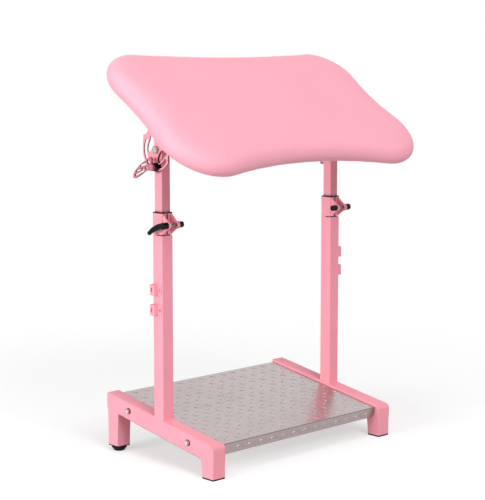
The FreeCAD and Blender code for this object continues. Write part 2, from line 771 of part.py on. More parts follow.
def sector_outline():
    """Round lower edge with a horn at each end, and a scalloped neck up to the foot."""
    rims, edges = [], []
    for sign, shares in ((-1, sector_front_shares), (1, sector_rear_shares)):
        half = math.radians(90 * shares["rim"])
        rim = Vector(0, sign * sector_radius * math.sin(half), -sector_radius * math.cos(half))
        horn, waist, neck = [sector_spot(sign, shares[name]) for name in ("horn", "waist", "neck")]
        foot = Vector(0, sign * bracket_half_length, pad_underside)
        scallop = Part.Arc(horn, waist, neck).toShape()
        edges += [Part.makeLine(rim, horn), scallop, Part.makeLine(neck, foot)]
        rims.append(rim)
    edges.append(Part.Arc(rims[0], Vector(0, 0, -sector_radius), rims[1]).toShape())
    edges.append(Part.makeLine(Vector(0, -bracket_half_length, pad_underside),
                               Vector(0, bracket_half_length, pad_underside)))
    return face_of(edges)


def sector_window(sign):
    """Bean-shaped window between the slot and the spine of the sector plate."""
    curve = Part.BSplineCurve()
    curve.interpolate([sector_spot(sign, shares) for shares in window_shares], True)
    opening = face_of([curve.toShape()]).extrude(Vector(2 * overrun + sector_outer, 0, 0))
    return moved(opening, Vector(-sector_outer - overrun, 0, 0))


def bracket_screw_spots():
    """Places of the bracket's screws, as (x, y) in the pad's axes."""
    start = -frame_x - sector_outer + bracket_screw_inset
    end = -frame_x - sector_outer + bracket_foot_width - bracket_screw_inset
    return [(x, y) for x in (start, end) for y in (-bracket_screw_offset, bracket_screw_offset)]


def tilt_bracket():
    """Slotted sector plate under the pad, bent from a foot that is screwed to the board."""
    plate = sector_outline().extrude(Vector(sector_thickness, 0, 0))
    plate = moved(plate, Vector(-sector_outer, 0, 0))
    width = 2 * (tilt_bolt_radius + slot_clearance)
    plate = plate.cut(arc_slot(slot_radius, width, -slot_half_angle, slot_half_angle))
    for sign in (-1, 1):
        plate = plate.cut(sector_window(sign))
    plate = plate.cut(rod_x(pivot_radius + pivot_clearance, -sector_outer - overrun, 0, 0, 0))
    foot = box(-sector_outer, -sector_outer + bracket_foot_width, -bracket_half_length, bracket_half_length,
               pad_underside - bracket_foot_thickness, pad_underside)
    bracket = moved(plate.fuse(foot).removeSplitter(), Vector(-frame_x, 0, 0))
    hole = bracket_screw_radius + bracket_screw_hole_clearance
    for x, y in bracket_screw_spots():
        bracket = bracket.cut(Part.makeCylinder(hole, pad_lift, Vector(x, y, 0)))
    return bracket


def bracket_screw(x, y):
    base = pad_underside - bracket_foot_thickness
    head = Part.makeCylinder(bracket_screw_head_radius, bracket_screw_head_height,
                             Vector(x, y, base - bracket_screw_head_height))
    head = round_edges(head, bracket_screw_head_height / 2,
                       lambda edge: edge.BoundBox.ZMax < base - bracket_screw_head_height / 2)
    length = bracket_foot_thickness + bracket_screw_depth
    return head.fuse(Part.makeCylinder(bracket_screw_radius, length, Vector(x, y, base)))


def unit(vector):
    return vector * (1 / vector.Length)


def pad_circles():
    """Centres and radii of the pad's four lobes and of the four hollows between them."""
    front = Vector(pad_half_length_front - pad_front_lobe_radius, pad_front_lobe_radius - pad_half_depth, 0)
    rear = Vector(pad_half_length_rear - pad_rear_lobe_radius, pad_half_depth - pad_rear_lobe_radius, 0)

    def hollow_radius(lobe, lobe_radius, depth):
        return (lobe.x ** 2 / depth + depth) / 2 - lobe_radius

    front_radius = hollow_radius(front, pad_front_lobe_radius, pad_front_hollow)
    rear_radius = hollow_radius(rear, pad_rear_lobe_radius, pad_rear_hollow)
    front_hollow = Vector(0, pad_front_hollow - pad_half_depth - front_radius, 0)
    rear_hollow = Vector(0, pad_half_depth - pad_rear_hollow + rear_radius, 0)
    reach_front = pad_side_radius + pad_front_lobe_radius
    reach_rear = pad_side_radius + pad_rear_lobe_radius
    span = rear - front
    along = (span.Length ** 2 + reach_front ** 2 - reach_rear ** 2) / (2 * span.Length)
    across = math.sqrt(reach_front ** 2 - along ** 2)
    step = unit(span)
    side_hollow = front + step * along + Vector(step.y, -step.x, 0) * across

    def other(spot):
        return Vector(-spot.x, spot.y, 0)

    return [(front, pad_front_lobe_radius), (side_hollow, pad_side_radius), (rear, pad_rear_lobe_radius),
            (rear_hollow, rear_radius), (other(rear), pad_rear_lobe_radius),
            (other(side_hollow), pad_side_radius), (other(front), pad_front_lobe_radius),
            (front_hollow, front_radius)]


def pad_ring(inset, level):
    """The pad's outline drawn in by inset, at a level above its mid plane."""
    circles = pad_circles()
    count = len(circles)
    joints = []
    for index in range(count):
        lobe, hollow = (index, (index + 1) % count) if index % 2 == 0 else ((index + 1) % count, index)
        centre, radius = circles[lobe]
        joints.append(centre + unit(circles[hollow][0] - centre) * (radius - inset))
    edges = []
    for index, (centre, radius) in enumerate(circles):
        reach = radius - inset if index % 2 == 0 else radius + inset
        start, end = joints[index - 1], joints[index]
        middle = centre + unit((start + end) * 0.5 - centre) * reach
        edges.append(Part.Arc(start, middle, end).toShape())
    wire = Part.Wire(edges)
    wire.translate(Vector(0, 0, pad_lift + level))
    return wire


def pad_levels():
    """Inset and level of each ring, from the underside round the edge to the crown."""
    edge = [(inset * pad_roundness, level * pad_half_thickness) for inset, level in edge_shares]
    crown = [(inset * crown_inset, pad_half_thickness + level * pad_crown) for inset, level in crown_shares]
    return edge + crown


def pad_board():
    board = Part.Face(pad_ring(board_inset, -pad_half_thickness)).extrude(Vector(0, 0, board_thickness))
    radius = bracket_screw_radius + thread_clearance
    for x, y in bracket_screw_spots():
        hole = Part.makeCylinder(radius, bracket_screw_depth, Vector(x, y, pad_underside))
        board = board.cut(hole).cut(mirrored(hole))
    return board


def pad_cushion():
    """Crowned cushion over the board, with rounded, drawn-in sides."""
    body = Part.makeLoft([pad_ring(inset, level) for inset, level in pad_levels()], True, True)
    low = pad_ring(board_inset - board_clearance, -pad_half_thickness - overrun)
    pocket = Part.Face(low).extrude(Vector(0, 0, board_thickness + board_clearance + overrun))
    return body.cut(pocket)


def pad_front():
    """Depth of the pad's foremost point, in the stand's axes."""
    turn = Rotation(Vector(1, 0, 0), tilt_degrees)
    spots = [Vector(0, inset - pad_half_depth, pad_lift + level) for inset, level in pad_levels()]
    return column_y + min(turn.multVec(spot).y for spot in spots)


origin_y = (pad_front() + base_depth / 2 + rail_plug_thickness) / 2


def both(shapes):
    """Left-hand solids and their mirror images."""
    return list(shapes) + [mirrored(shape) for shape in shapes]


def export(name, shapes):
    """Write one node, with the origin on the floor under the middle of the stand's box."""
    shift = Vector(0, -origin_y, 0)
    placed = [moved(shape, shift) for shape in shapes]
    whole = placed[0] if len(placed) == 1 else Part.makeCompound(placed)
    whole.exportStep("parts/" + name + ".step")
    print(name, len(whole.Solids), round(whole.Volume), whole.isValid())


def export_pair(name, shape):
    export(name + "_left", [shape])
    export(name + "_right", [mirrored(shape)])


os.makedirs("parts", exist_ok=True)

export_pair("rail", rail())
export_pair("front_leg", leg(-base_depth / 2, front_cap_height))
export_pair("rear_leg", leg(base_depth / 2 - rail_size, rear_leg_height))
export_pair("front_cap", front_cap())
export_pair("rear_insert", rear_insert())
export("rail_plugs", both([rail_plug()]))
export_pair("levelling_foot", levelling_foot())
export_pair("foot_stem", foot_stem())

export("footplate", [footplate()])
plate_bolts, plate_washers, plate_nuts = plate_fasteners()
export("plate_bolts", both(plate_bolts))
export("plate_washers", both(plate_washers))
export("plate_nuts", both(plate_nuts))

clip_screws = []
for side, name in ((-1, "left"), (1, "right")):
    tube = column() if side < 0 else mirrored(column())
    clips, screws, holes = clips_on(side)
    for hole in holes:
        tube = tube.cut(hole)
    export("column_" + name, [tube])
    export("strap_clips_" + name, clips)
    clip_screws += screws
export("clip_screws", clip_screws)
export("clamp_ears_left", clamp_ears())
export("clamp_ears_right", [mirrored(ear) for ear in clamp_ears()])
export_pair("slide_bush", slide_bush())
export_pair("clamp_nut", clamp_nut())
export_pair("clamp_lever", clamp_lever())
export_pair("clamp_stud", clamp_stud())

export_pair("slide_tube", slide_tube())
export("slide_shoes", both([slide_shoe()]))
export("tube_plugs", both([tube_plug()]))
export_pair("pivot_bolt", pivot_bolt())
export("pivot_nuts", both([pivot_nut()]))
export("pivot_washers", both([pivot_washer()]))
export_pair("tilt_bolt", tilt_bolt())
export("tilt_washers", both([tilt_washer()]))
export_pair("handle_hub", handle_hub())
export_pair("wing_handle", wing_handle())

bracket = tilt_bracket()
export("tilt_bracket_left", [tilted(bracket)])
export("tilt_bracket_right", [tilted(mirrored(bracket))])
board_screws = [bracket_screw(x, y) for x, y in bracket_screw_spots()]
export("bracket_screws", [tilted(screw) for screw in both(board_screws)])
export("pad_board", [tilted(pad_board())])
export("pad_cushion", [tilted(pad_cushion())])

print("pivot", column_y - origin_y, pivot_height, "tilt bolt", tilt_bolt_height)
print("clamp", clamp_y - origin_y, clamp_z, "foot", frame_x, rear_foot_spot().y - origin_y)
print("origin shift", origin_y)
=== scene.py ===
import json
import math

import bmesh
import bpy
import numpy as np
from mathutils import Matrix, Vector, kdtree, noise

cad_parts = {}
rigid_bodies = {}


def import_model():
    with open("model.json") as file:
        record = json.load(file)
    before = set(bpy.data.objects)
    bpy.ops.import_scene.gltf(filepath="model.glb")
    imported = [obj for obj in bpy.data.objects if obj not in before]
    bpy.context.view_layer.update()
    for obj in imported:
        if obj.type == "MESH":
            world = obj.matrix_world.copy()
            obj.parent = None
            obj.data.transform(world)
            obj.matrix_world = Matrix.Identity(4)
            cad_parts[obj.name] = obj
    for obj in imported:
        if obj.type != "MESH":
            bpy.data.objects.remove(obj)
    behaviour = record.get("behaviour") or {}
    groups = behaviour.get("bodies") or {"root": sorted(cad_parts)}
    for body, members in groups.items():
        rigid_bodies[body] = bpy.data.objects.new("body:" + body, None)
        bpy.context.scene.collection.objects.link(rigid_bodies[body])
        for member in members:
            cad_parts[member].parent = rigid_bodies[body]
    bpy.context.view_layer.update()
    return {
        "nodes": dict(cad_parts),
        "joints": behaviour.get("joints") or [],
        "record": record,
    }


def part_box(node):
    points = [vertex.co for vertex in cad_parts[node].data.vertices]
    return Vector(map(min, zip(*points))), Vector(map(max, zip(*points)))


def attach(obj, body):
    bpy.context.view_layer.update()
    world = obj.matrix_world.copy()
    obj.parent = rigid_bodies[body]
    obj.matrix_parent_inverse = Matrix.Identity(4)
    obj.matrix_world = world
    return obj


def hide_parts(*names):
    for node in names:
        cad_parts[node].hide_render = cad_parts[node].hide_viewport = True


for leftover in list(bpy.data.objects):
    bpy.data.objects.remove(leftover)

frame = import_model()
nodes = frame["nodes"]
scene = bpy.context.scene

# Camera, at the photograph's viewpoint
camera_azimuth = math.radians(-43.508)
camera_elevation = math.radians(7.667)
camera_distance = 3.7922
camera_target = Vector((-0.0317, 0.0236, 0.5142))
focal_pixels = 1470.1
picture_height = 500
sensor_width = 36.0

# Studio
floor_size = 16.0
floor_patch_near = 0.75
floor_patch_far = 1.9
floor_shade = 0.6
floor_lift = 0.5
sky_strength = 0.32
# Each soft box: its way from the stand, distance, size and power
soft_boxes = {
    "overhead": (Vector((-0.2, -0.32, 0.93)), 5.0, 4.4, 110.0),
    "left": (Vector((-1.0, 0.1, 0.13)), 8.0, 4.0, 485.0),
    "front": (Vector((-0.22, -0.82, 0.52)), 8.0, 3.0, 226.0),
}

# Pad, in its own axes: x to the right, u up its slope and n square to it
pad_tilt = math.radians(35)
pad_half_length_front = 0.4245
pad_half_length_rear = 0.418
pad_half_depth = 0.2295
pad_front_lobe = 0.128
pad_rear_lobe = 0.1095
pad_front_hollow = 0.033
pad_rear_hollow = 0.013
pad_side_radius = 0.5
pad_half_thickness = 0.024
pad_lift = 0.1057
pad_board_inset = 0.032
pad_under_inset = 0.02
pad_start_inset = -0.001
pad_roundness = 0.026
pad_crown = 0.007
pad_crown_inset = 0.1
pad_flat_inset = 0.045
pad_outline_step = 0.009
pad_edge_steps = 12
pad_reach_step = 0.0012
pad_voxel = 0.005
pad_smooth_rounds = 6
pocket_depth = 0.0123
pocket_gap = 0.0004
pocket_overrun = 0.012

# Cover of the pad, blown up as cloth
cover_frames = 20
cover_group = "held"
cover_held_level = 0.002
cover_held_fade = 0.01
cover_cap = 0.003
cover_evening_rounds = 50
cover_cloth = {
    "quality": 6,
    "mass": 0.3,
    "tension_stiffness": 20,
    "compression_stiffness": 20,
    "shear_stiffness": 8,
    "bending_stiffness": 0.6,
    "use_pressure": True,
    "uniform_pressure_force": 4.0,
    "vertex_group_mass": cover_group,
}

# Hem of the cover, stapled under the board
hem_width = 0.024
hem_thickness = 0.0012
hem_fold = 0.0008
hem_waver = 0.0035
hem_pleats = 61
hem_gather_reach = 9
hem_gather_start = 0.4
hem_gather_drift = 3
# Inset and level of each of the hem's rings
hem_profile = (
    (-0.0045, 0.0),
    (-0.003, -hem_thickness),
    (0.006, -1.25 * hem_thickness),
    (0.014, -1.1 * hem_thickness),
    (hem_width, -hem_thickness),
    (hem_width, 0.0003),
)
staple_row_share = 0.55
staple_pitch = 0.028
staple_length = 0.010
staple_wire = 0.0009

# Side frames
rail_size = 0.04
rail_rear_height = 0.151
rail_fall = 0.067
rail_depth = 0.402
rail_front_radius = 0.012
rail_edge_radius = 0.0026
rail_edge_steps = 4
rail_front_steps = 10
rail_normal_weight = 100
sharp_angle = math.radians(50)
slope = math.atan2(rail_fall, rail_depth)

# Tread pattern of the footplate
lug_pitch = 0.039
lug_length = 0.019
lug_width = 0.0062
lug_height = 0.0015
lug_sunk = 0.0002
lug_margin = 0.012
lug_spare_rows = 2
lug_top_share = 0.82
lug_point_share = 0.28
lug_rings = 4
lug_sides = 16
lug_shift = 0.0236
lug_flange_drop = 0.0015
# Each of the two crossed rows: the way its lugs lean, and where it starts
lug_rows = ((1, 0.010, 0.026), (-1, 0.0295, 0.0065))

# Weld beads
weld_radius = 0.0026
weld_resolution = 3
weld_step = 0.003
weld_corner = 0.0015
weld_sunk = 0.0002
weld_ripple = 0.1
weld_waver = 0.14
weld_waver_scale = 160

# Edges of the handles and levers, softened
wing_voxel = 0.0005
wing_smooth_rounds = 4
lever_voxel = 0.0006
lever_smooth_rounds = 5
merge_distance = 1e-6

# Colours
white = (1, 1, 1, 1)
sky_tint = (1.0, 0.995, 0.99, 1)
coat_pink = (0.965, 0.362, 0.443, 1)
coat_cloud_low = (0.955, 0.352, 0.432, 1)
coat_cloud_high = (0.975, 0.372, 0.454, 1)
# Paler pink of the edges: partly a thin coat, partly a painted highlight
coat_edge_highlight = (0.985, 0.5, 0.58, 1)
# Dark painted shade of the cut edges
coat_cut_shade = (0.2, 0.045, 0.075, 1)
# Deeper pink: painted shade of the wing handles
coat_shade_deep = (0.42, 0.12, 0.17, 1)
# Near black: painted shade in crevices
coat_crevice_shade = (0.04, 0.006, 0.012, 1)
vinyl_pink = (0.96, 0.42, 0.51, 1)
vinyl_cloud_low = (0.955, 0.412, 0.5, 1)
vinyl_cloud_high = (0.965, 0.43, 0.52, 1)
# Painted shade of the grain's valleys
vinyl_valley_shade = (0.78, 0.29, 0.37, 1)
sheet_grey = (0.56, 0.5, 0.495, 1)
sheet_line_low = (0.475, 0.415, 0.41, 1)
sheet_line_high = (0.55, 0.49, 0.485, 1)
sheet_smudge = (0.46, 0.385, 0.385, 1)
# Painted shade of the flanges
sheet_flange_shade = (0.3, 0.23, 0.235, 1)
# Dark painted shade of the bends
sheet_bend_shade = (0.06, 0.045, 0.045, 1)
# Painted shade of the lugs' flanks
lug_flank_shade = (0.2, 0.15, 0.15, 1)
# Bright lug tops: partly wear, partly a painted highlight
lug_worn_highlight = (0.85, 0.82, 0.81, 1)
plastic_black = (0.004, 0.003, 0.0035, 1)
plastic_low = (0.003, 0.002, 0.0025, 1)
plastic_high = (0.006, 0.005, 0.0055, 1)
# Painted highlight of the edges
plastic_edge_highlight = (0.016, 0.013, 0.014, 1)
zinc_grey = (0.72, 0.7, 0.67, 1)
zinc_low = (0.62, 0.6, 0.58, 1)
zinc_high = (0.8, 0.785, 0.76, 1)
# Painted shade of the edges
zinc_rim_shade = (0.035, 0.028, 0.03, 1)
birch = (0.55, 0.4, 0.25, 1)
birch_pale = (0.62, 0.45, 0.28, 1)
birch_grain = (0.44, 0.29, 0.165, 1)
ply_dark = (0.36, 0.22, 0.12, 1)
ply_pale = (0.58, 0.42, 0.26, 1)

# Finishes, painted highlights and painted shade: how far each goes over edges, creases and plies
bevel_samples = 4
crevice_samples = 6
crevice_fade = 0.3
coat_edge_radius = 0.0013
coat_edge_highlight_share = 0.6
vinyl_valley_shade_share = 0.1
sheet_edge_radius = 0.0006
sheet_smudge_share = 0.25
sheet_bend_shade_share = 0.85
plastic_edge_radius = 0.0007
plastic_edge_highlight_share = 0.4
zinc_edge_radius = 0.0008
zinc_rim_radius = 0.004
zinc_rim_shade_share = 0.92
ply_pair = 0.003
bracket_foot_thickness = 0.006
bracket_foot_fade = 0.001
bracket_foot_level = pad_lift - pad_half_thickness - bracket_foot_thickness

pivot = Vector(next(joint["pos_m"] for joint in frame["joints"] if joint["name"] == "tilt"))
pad_turn = Matrix.Rotation(pad_tilt, 3, "X")


def to_pad(point):
    """From the stand's axes to the pad's."""
    return pad_turn.transposed() @ (Vector(point) - pivot)


def from_pad(point):
    """From the pad's axes to the stand's."""
    return pivot + pad_turn @ Vector(point)


def put(tree, socket, source):
    """Links a socket to what feeds it, or sets its value."""
    if isinstance(source, bpy.types.NodeSocket):
        tree.links.new(source, socket)
    else:
        socket.default_value = source


def added(tree, kind, feeds=(), **settings):
    """New node of a tree, with its settings and what feeds its sockets."""
    made = tree.nodes.new(kind)
    for name, value in settings.items():
        setattr(made, name, value)
    for socket, source in dict(feeds).items():
        put(tree, made.inputs[socket], source)
    return made


class Shader:
    """Node tree of one material."""

    def __init__(self, name, base, **sockets):
        self.material = bpy.data.materials.new(name)
        self.material.use_nodes = True
        self.tree = self.material.node_tree
        self.surface = self.tree.nodes["Principled BSDF"]
        self.set(Base_Color=base, **sockets)
        self.place = self.node("ShaderNodeTexCoord").outputs["Object"]

    def set(self, **sockets):
        """Feeds the surface's sockets, and gives the material."""
        for socket, source in sockets.items():
            put(self.tree, self.surface.inputs[socket.replace("_", " ")], source)
        return self.material

    def node(self, kind, feeds=(), **settings):
        return added(self.tree, kind, feeds, **settings)

    def normal(self):
        return self.node("ShaderNodeTexCoord").outputs["Normal"]

    def mapped(self, vector, vector_type, **sockets):
        feeds = {"Vector": vector, **sockets}
        return self.node("ShaderNodeMapping", feeds, vector_type=vector_type).outputs["Vector"]

    def axis(self, vector, name):
        return self.node("ShaderNodeSeparateXYZ", {0: vector}).outputs[name]

    def noise(self, scale, detail=3.0, roughness=0.5, place=None):
        feeds = {"Vector": place or self.place, "Scale": scale, "Detail": detail, "Roughness": roughness}
        return self.node("ShaderNodeTexNoise", feeds).outputs["Fac"]

    def span(self, value, low, high, from_low=0.3, from_high=0.7):
        """value, moved from one range to another."""
        feeds = {"Value": value, "From Min": from_low, "From Max": from_high, "To Min": low, "To Max": high}
        return self.node("ShaderNodeMapRange", feeds).outputs["Result"]

    def mix(self, factor, first, second):
        return self.node("ShaderNodeMix", {0: factor, 6: first, 7: second}, data_type="RGBA").outputs[2]

    def math(self, operation, first, second=0.0):
        return self.node("ShaderNodeMath", {0: first, 1: second}, operation=operation).outputs[0]

    def touched(self, tint, shade, mask, share):
        """tint, with a share of another shade where the mask is."""
        return self.mix(self.math("MULTIPLY", mask, share), tint, shade)

    def bump(self, height, distance, strength, under=None):
        feeds = {"Height": height, "Distance": distance, "Strength": strength}
        if under is not None:
            feeds["Normal"] = under
        return self.node("ShaderNodeBump", feeds).outputs["Normal"]

    def openness(self, reach):
        """How open the surface is within a reach: 1 in the open, 0 in a crevice."""
        shade = self.node("ShaderNodeAmbientOcclusion", {"Distance": reach}, samples=crevice_samples)
        return shade.outputs["AO"]

    def edge(self, radius):
        """Normal rounded over the edges, and a mask of the edges."""
        bevel = self.node("ShaderNodeBevel", {"Radius": radius}, samples=bevel_samples).outputs["Normal"]
        flat = self.node("ShaderNodeNewGeometry").outputs["Normal"]
        dot = self.node("ShaderNodeVectorMath", {0: bevel, 1: flat}, operation="DOT_PRODUCT").outputs["Value"]
        return bevel, self.span(dot, 1.0, 0.0, from_low=0.75, from_high=0.99)


def cut_shade_mask(shader, strength):
    """Mask of a thin plate's cut edges, below the tilt brackets' feet, for the painted shade on them."""
    across = shader.axis(shader.normal(), "X")
    edgewise = shader.span(shader.math("ABSOLUTE", across), strength, 0.0, from_low=0.35, from_high=0.8)
    in_pad = shader.mapped(shader.place, "TEXTURE", Location=pivot, Rotation=(pad_tilt, 0, 0))
    below_foot = shader.span(shader.axis(in_pad, "Z"), 1.0, 0.0,
                             from_low=bracket_foot_level - bracket_foot_fade, from_high=bracket_foot_level)
    return shader.math("MULTIPLY", edgewise, below_foot)


def powder_coat(name, cut_edge_shade=0.0, depth=0.0, crevice=0.0, open_share=0.6):
    """Satin powder coat: a fine orange peel, with paler edges that are partly a thin coat and partly a
    painted highlight, and optional painted shade.
    """
    shader = Shader(name, coat_pink, IOR=1.5, Specular_IOR_Level=0.25)
    rounded, edges = shader.edge(coat_edge_radius)
    tint = shader.mix(shader.span(shader.noise(scale=9.0), 0.0, 1.0), coat_cloud_low, coat_cloud_high)
    # Paler edges: partly a thin coat, partly a painted highlight
    tint = shader.touched(tint, coat_edge_highlight, edges, coat_edge_highlight_share)
    # Painted shade: the whole coat deepened, on parts that sit in shade
    if depth:
        tint = shader.mix(depth, tint, coat_shade_deep)
    if cut_edge_shade:
        # Painted shade on the cut edges of thin plates
        tint = shader.mix(cut_shade_mask(shader, cut_edge_shade), tint, coat_cut_shade)
    # Painted shade: the coat darkened in crevices, such as the columns' slits
    if crevice:
        shaded_crevice = shader.span(shader.openness(crevice), 1.0, 0.0,
                           from_low=open_share - crevice_fade, from_high=open_share)
        tint = shader.mix(shaded_crevice, tint, coat_crevice_shade)
    peel = shader.bump(shader.noise(scale=620.0, detail=2.0), distance=0.00012, strength=0.5, under=rounded)
    grit = shader.bump(shader.noise(scale=2600.0, detail=1.0), distance=0.00004, strength=0.5, under=peel)
    rough = shader.span(shader.noise(scale=140.0, detail=4.0), 0.36, 0.48)
    return shader.set(Base_Color=tint, Roughness=rough, Normal=grit)


def vinyl():
    """Smooth leatherette: a shallow pebbled grain, pulled tight over foam."""
    shader = Shader("vinyl", vinyl_pink, IOR=1.46, Specular_IOR_Level=0.16, Sheen_Weight=0.02,
                    Sheen_Roughness=0.5)
    tint = shader.mix(shader.span(shader.noise(scale=5.0), 0.0, 1.0), vinyl_cloud_low, vinyl_cloud_high)
    cells = shader.node("ShaderNodeTexVoronoi", {"Scale": 780.0}, feature="DISTANCE_TO_EDGE")
    pebbles = shader.span(cells.outputs["Distance"], 0.0, 1.0, from_low=0.0, from_high=0.16)
    # Painted shade: darker in the valleys between the grain's pebbles
    tint = shader.touched(tint, vinyl_valley_shade, shader.math("SUBTRACT", 1.0, pebbles), vinyl_valley_shade_share)
    grain = shader.bump(pebbles, distance=0.00006, strength=0.5)
    soft = shader.bump(shader.noise(scale=38.0, detail=2.0), distance=0.0006, strength=0.25, under=grain)
    rough = shader.span(shader.noise(scale=210.0, detail=4.0), 0.43, 0.56)
    return shader.set(Base_Color=tint, Roughness=rough, Normal=soft)


def worn_and_shaded_lugs(shader, tint):
    """tint, with painted shade on the lugs' flanks, and their tops brighter, partly as wear and partly as a
    painted highlight.
    """
    upward = shader.axis(shader.normal(), "Z")
    tint = shader.mix(shader.span(upward, 0.4, 0.0, from_low=0.82, from_high=0.95), tint, lug_flank_shade)
    return shader.mix(shader.span(upward, 0.0, 0.6, from_low=0.95, from_high=0.985), tint, lug_worn_highlight)


def shaded_folds(shader, tint):
    """tint, with painted shade on the sheet's flanges and darker painted shade along their bends."""
    forward = shader.math("ABSOLUTE", shader.axis(shader.normal(), "Y"))
    # Painted shade on the flanges, by the way they face
    tint = shader.mix(shader.span(forward, 0.0, 0.55, from_low=0.5, from_high=0.95), tint, sheet_flange_shade)
    rise = shader.span(forward, 0.0, 1.0, from_low=0.42, from_high=0.55)
    fall = shader.span(forward, 1.0, 0.0, from_low=0.8, from_high=0.93)
    return shader.touched(tint, sheet_bend_shade, shader.math("MULTIPLY", rise, fall), sheet_bend_shade_share)


def tread_metal(name, shade_and_wear):
    """Bright rolled sheet with faint scratches along it, tinted further by the given function: painted shade
    for the folds, wear with painted highlight and shade for the lugs.
    """
    shader = Shader(name, sheet_grey, Metallic=1.0, Anisotropic=0.35)
    along = shader.mapped(shader.place, "POINT", Scale=(22.0, 900.0, 900.0))
    lines = shader.noise(scale=1.0, detail=5.0, roughness=0.6, place=along)
    smudge = shader.span(shader.noise(scale=16.0, detail=4.0), 0.0, 1.0)
    drawn = shader.span(lines, 0.0, 1.0, from_low=0.35, from_high=0.65)
    tint = shader.mix(drawn, sheet_line_low, sheet_line_high)
    tint = shader.touched(tint, sheet_smudge, smudge, sheet_smudge_share)
    tint = shade_and_wear(shader, tint)
    rough = shader.math("ADD", shader.span(lines, -0.04, 0.05, from_low=0.35, from_high=0.65),
                        shader.span(smudge, 0.25, 0.34, from_low=0.0, from_high=1.0))
    rounded, _ = shader.edge(sheet_edge_radius)
    scratched = shader.bump(lines, distance=0.00003, strength=0.6, under=rounded)
    waved = shader.bump(shader.noise(scale=24.0, detail=2.0), distance=0.0009, strength=0.22, under=scratched)
    return shader.set(Base_Color=tint, Roughness=rough, Normal=waved)


def black_plastic(name, rough_low=0.2, rough_high=0.3):
    """Moulded black plastic with a fine spark-eroded skin."""
    shader = Shader(name, plastic_black, IOR=1.5, Specular_IOR_Level=0.14)
    rounded, edges = shader.edge(plastic_edge_radius)
    tint = shader.mix(shader.span(shader.noise(scale=60.0), 0.0, 1.0), plastic_low, plastic_high)
    # Painted highlight: paler along the edges
    tint = shader.touched(tint, plastic_edge_highlight, edges, plastic_edge_highlight_share)
    skin = shader.bump(shader.noise(scale=1500.0, detail=2.0), distance=0.00005, strength=0.6, under=rounded)
    rough = shader.span(shader.noise(scale=260.0, detail=4.0), rough_low, rough_high)
    return shader.set(Base_Color=tint, Roughness=rough, Normal=skin)


def dimmed(shade, share):
    """A shade at a share of its brightness."""
    return (*(part * share for part in shade[:3]), 1)


def zinc(name, share):
    """Zinc plating, a little mottled, with painted shade on its edges; bright at a share of 1."""
    shader = Shader(name, zinc_grey, Metallic=1.0)
    rounded, _ = shader.edge(zinc_edge_radius)
    rim_shade = shader.span(shader.edge(zinc_rim_radius)[1], 0.0, 1.0, from_low=0.06, from_high=0.35)
    mottle = shader.span(shader.noise(scale=320.0, detail=4.0), 0.0, 1.0)
    tint = shader.mix(mottle, dimmed(zinc_low, share), dimmed(zinc_high, share))
    # Painted shade: dark over the edges
    tint = shader.touched(tint, zinc_rim_shade, rim_shade, zinc_rim_shade_share)
    marks = shader.bump(shader.noise(scale=2400.0, detail=2.0), distance=0.00003, strength=0.5, under=rounded)
    rough = shader.span(shader.noise(scale=500.0), 0.2, 0.36)
    return shader.set(Base_Color=tint, Roughness=rough, Normal=marks)


def plywood():
    """Birch plywood: long grain on the faces, plies on the edges."""
    shader = Shader("plywood", birch, IOR=1.45)
    levelled = shader.mapped(shader.place, "TEXTURE", Rotation=(pad_tilt, 0, 0))
    depth = shader.math("MULTIPLY", shader.axis(levelled, "Z"), 2 * math.pi / ply_pair)
    plies = shader.span(shader.math("SINE", depth), 0.0, 1.0, from_low=-0.4, from_high=0.4)
    along = shader.mapped(levelled, "POINT", Scale=(9.0, 120.0, 120.0))
    grain = shader.noise(scale=1.0, detail=6.0, roughness=0.6, place=along)
    face = shader.mix(shader.span(grain, 0.0, 1.0), birch_pale, birch_grain)
    upright = shader.mapped(shader.normal(), "TEXTURE", Rotation=(pad_tilt, 0, 0))
    facing = shader.math("ABSOLUTE", shader.axis(upright, "Z"))
    edge = shader.mix(plies, ply_dark, ply_pale)
    tint = shader.mix(shader.span(facing, 0.0, 1.0, from_low=0.4, from_high=0.6), edge, face)
    relief = shader.bump(grain, distance=0.0002, strength=0.5)
    return shader.set(Base_Color=tint, Roughness=shader.span(grain, 0.55, 0.75), Normal=relief)


def seen(tree):
    """1 for the rays of the camera, of gloss and of glass, 0 for all others."""
    rays = added(tree, "ShaderNodeLightPath").outputs
    either = added(tree, "ShaderNodeMath", {0: rays["Is Camera Ray"], 1: rays["Is Glossy Ray"]},
                   operation="MAXIMUM")
    return added(tree, "ShaderNodeMath", {0: either.outputs[0], 1: rays["Is Transmission Ray"]},
                 operation="MAXIMUM").outputs[0]


def floor_paint():
    """Pale floor, lifted round the object and white further out for the camera and in reflections."""
    made = bpy.data.materials.new("floor_paint")
    made.use_nodes = True
    tree = made.node_tree
    tree.nodes.clear()
    shade = (floor_shade, floor_shade, floor_shade, 1)
    paint = added(tree, "ShaderNodeBsdfDiffuse", {"Color": shade}).outputs[0]
    lift = added(tree, "ShaderNodeEmission", {"Strength": floor_lift}).outputs[0]
    lifted = added(tree, "ShaderNodeAddShader", {0: paint, 1: lift}).outputs[0]
    bright = added(tree, "ShaderNodeEmission").outputs[0]
    place = added(tree, "ShaderNodeTexCoord").outputs["Object"]
    reach = added(tree, "ShaderNodeVectorMath", {0: place}, operation="LENGTH").outputs["Value"]
    patch = {"Value": reach, "From Min": floor_patch_near, "From Max": floor_patch_far}
    fade = added(tree, "ShaderNodeMapRange", patch, interpolation_type="SMOOTHSTEP").outputs["Result"]
    faded = added(tree, "ShaderNodeMixShader", {0: fade, 1: lifted, 2: bright}).outputs[0]
    chosen = added(tree, "ShaderNodeMixShader", {0: seen(tree), 1: paint, 2: faded}).outputs[0]
    added(tree, "ShaderNodeOutputMaterial", {"Surface": chosen})
    return made


